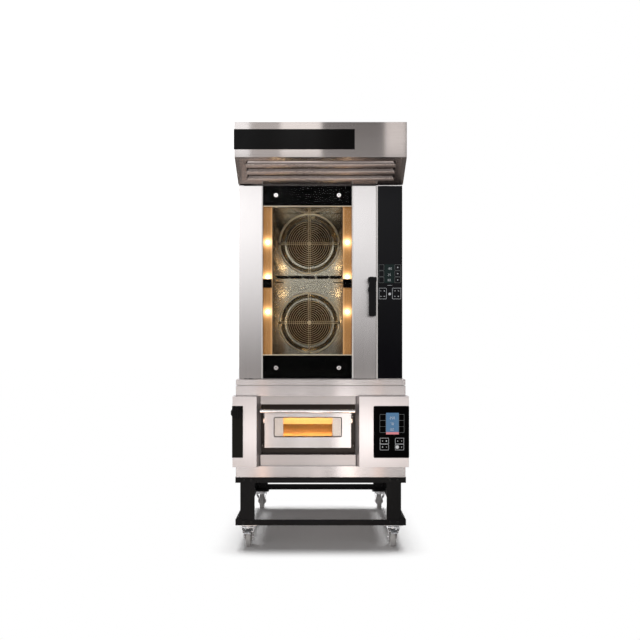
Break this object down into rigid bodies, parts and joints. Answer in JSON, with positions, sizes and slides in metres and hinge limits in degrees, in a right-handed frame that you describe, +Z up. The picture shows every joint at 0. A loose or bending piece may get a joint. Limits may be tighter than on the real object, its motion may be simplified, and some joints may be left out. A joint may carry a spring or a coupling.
{
  "type": "convection oven",
  "caption": "Wheeled baking tower: a glass-door convection oven under a steam hood, on a drop-door deck oven and an open black stand.",
  "frame": {"origin": "centre of the floor area that the tower covers, on the floor", "axes": "+Z up, -Y out of the oven doors towards the cook, +X to the cook's right"},
  "size_m": [0.9169, 1.279, 2.222],
  "materials": {
    "stand_black": "satin powder coat",
    "zinc": "bright zinc plate",
    "wheel_grey": "smooth moulded nylon",
    "brushed_stainless": "brushed, horizontal grain",
    "deck_liner": "heat-tinted steel",
    "bright_stainless": "polished",
    "cavity_stainless": "mirror-polished, warm from the lamps",
    "chamber_stone": "fired clay",
    "element": "dark sheathed element",
    "clear_glass": "clear tempered",
    "door_glass": "tempered with printed black bands",
    "black_glass": "gloss black touch glass",
    "black_plastic": "moulded black",
    "wool": "mineral wool",
    "seal_rubber": "silicone",
    "motor_paint": "satin grey",
    "lamp_glass": "frosted lamp capsule",
    "reflector": "warm satin"
  },
  "bodies": {
    "tower": {"stand_top_frame": "stand_black", "stand_legs": "stand_black", "stand_lower_frame": "stand_black", "stand_bolts": "stand_black", "caster_plates": "zinc", "deck_plinth": "brushed_stainless", "deck_casing": "brushed_stainless", "deck_pillar_left": "brushed_stainless", "deck_pillar_right": "brushed_stainless", "deck_fascias": "brushed_stainless", "deck_chamber": "deck_liner", "deck_stone": "chamber_stone", "deck_heaters": "element", "deck_valve_plate": "black_plastic", "deck_vent_duct": "zinc", "deck_control_glass": "black_glass", "oven_base": "brushed_stainless", "oven_casing": "brushed_stainless", "oven_cavity": "cavity_stainless", "insulation": "wool", "door_gasket": "seal_rubber", "fan_baffle": "cavity_stainless", "fan_guard_upper": "cavity_stainless", "fan_guard_lower": "cavity_stainless", "fan_motors": "motor_paint", "heater_rings": "element", "tray_racks": "cavity_stainless", "control_column": "brushed_stainless", "control_glass": "black_glass", "door_hinges": "bright_stainless", "hood_shell": "brushed_stainless", "hood_strip": "black_glass", "hood_louvre": "brushed_stainless", "hood_filter": "brushed_stainless", "hood_blower": "motor_paint"},
    "oven_door": {"door_frame": "brushed_stainless", "door_outer_glass": "door_glass", "door_inner_glass": "clear_glass", "door_lamp_columns": "reflector", "door_lamps": "lamp_glass", "door_standoffs": "bright_stainless"},
    "door_lever": {"door_handle": "black_plastic"},
    "fan_upper": {"fan_wheel_upper": "cavity_stainless"},
    "fan_lower": {"fan_wheel_lower": "cavity_stainless"},
    "hood_fan": {"hood_blower_wheel": "motor_paint"},
    "deck_door": {"deck_door_panel": "brushed_stainless", "deck_door_liner": "bright_stainless", "deck_door_glass": "clear_glass", "deck_door_handle": "bright_stainless"},
    "steam_valve": {"deck_valve_knob": "black_plastic"},
    "caster_front_left": {"caster_fork_front_left": "zinc"},
    "wheel_front_left": {"caster_wheel_front_left": "wheel_grey"},
    "caster_front_right": {"caster_fork_front_right": "zinc"},
    "wheel_front_right": {"caster_wheel_front_right": "wheel_grey"},
    "caster_rear_left": {"caster_fork_rear_left": "zinc"},
    "wheel_rear_left": {"caster_wheel_rear_left": "wheel_grey"},
    "caster_rear_right": {"caster_fork_rear_right": "zinc"},
    "wheel_rear_right": {"caster_wheel_rear_right": "wheel_grey"},
    "brake_left": {"caster_brake_left": "zinc"},
    "brake_right": {"caster_brake_right": "zinc"}
  },
  "joints": [
    {"name": "oven_door_swing", "type": "hinge", "parent": "tower", "child": "oven_door", "pos_m": [-0.4125, -0.4305, 1.3915], "axis": [0, 0, -1], "range_deg": [0, 120]},
    {"name": "door_lever_turn", "type": "hinge", "parent": "oven_door", "child": "door_lever", "pos_m": [0.2685, -0.4905, 1.399], "axis": [0, 1, 0], "range_deg": [0, 90]},
    {"name": "fan_upper_spin", "type": "hinge", "parent": "tower", "child": "fan_upper", "pos_m": [-0.0655, 0.3275, 1.6855], "axis": [0, 1, 0], "continuous": true},
    {"name": "fan_lower_spin", "type": "hinge", "parent": "tower", "child": "fan_lower", "pos_m": [-0.0655, 0.3275, 1.2015], "axis": [0, 1, 0], "continuous": true},
    {"name": "hood_fan_spin", "type": "hinge", "parent": "tower", "child": "hood_fan", "pos_m": [0.0035, 0.3795, 2.092], "axis": [0, 0, 1], "continuous": true},
    {"name": "deck_door_drop", "type": "hinge", "parent": "tower", "child": "deck_door", "pos_m": [-0.0635, -0.4385, 0.539], "axis": [1, 0, 0], "range_deg": [0, 90]},
    {"name": "steam_valve_turn", "type": "hinge", "parent": "tower", "child": "steam_valve", "pos_m": [-0.4275, -0.5005, 0.717], "axis": [0, -1, 0], "range_deg": [0, 90]},
    {"name": "caster_front_left_swivel", "type": "hinge", "parent": "tower", "child": "caster_front_left", "pos_m": [-0.377, -0.419, 0.1156], "axis": [0, 0, 1], "continuous": true},
    {"name": "wheel_front_left_roll", "type": "hinge", "parent": "caster_front_left", "child": "wheel_front_left", "pos_m": [-0.377, -0.383, 0.05], "axis": [1, 0, 0], "continuous": true},
    {"name": "caster_front_right_swivel", "type": "hinge", "parent": "tower", "child": "caster_front_right", "pos_m": [0.384, -0.419, 0.1156], "axis": [0, 0, 1], "continuous": true},
    {"name": "wheel_front_right_roll", "type": "hinge", "parent": "caster_front_right", "child": "wheel_front_right", "pos_m": [0.384, -0.383, 0.05], "axis": [1, 0, 0], "continuous": true},
    {"name": "caster_rear_left_swivel", "type": "hinge", "parent": "tower", "child": "caster_rear_left", "pos_m": [-0.377, 0.488, 0.1156], "axis": [0, 0, 1], "continuous": true},
    {"name": "wheel_rear_left_roll", "type": "hinge", "parent": "caster_rear_left", "child": "wheel_rear_left", "pos_m": [-0.377, 0.524, 0.05], "axis": [1, 0, 0], "continuous": true},
    {"name": "caster_rear_right_swivel", "type": "hinge", "parent": "tower", "child": "caster_rear_right", "pos_m": [0.384, 0.488, 0.1156], "axis": [0, 0, 1], "continuous": true},
    {"name": "wheel_rear_right_roll", "type": "hinge", "parent": "caster_rear_right", "child": "wheel_rear_right", "pos_m": [0.384, 0.524, 0.05], "axis": [1, 0, 0], "continuous": true},
    {"name": "brake_left_press", "type": "hinge", "parent": "caster_front_left", "child": "brake_left", "pos_m": [-0.377, -0.443, 0.092], "axis": [1, 0, 0], "range_deg": [0, 12]},
    {"name": "brake_right_press", "type": "hinge", "parent": "caster_front_right", "child": "brake_right", "pos_m": [0.384, -0.443, 0.092], "axis": [1, 0, 0], "range_deg": [0, 12]}
  ]
}
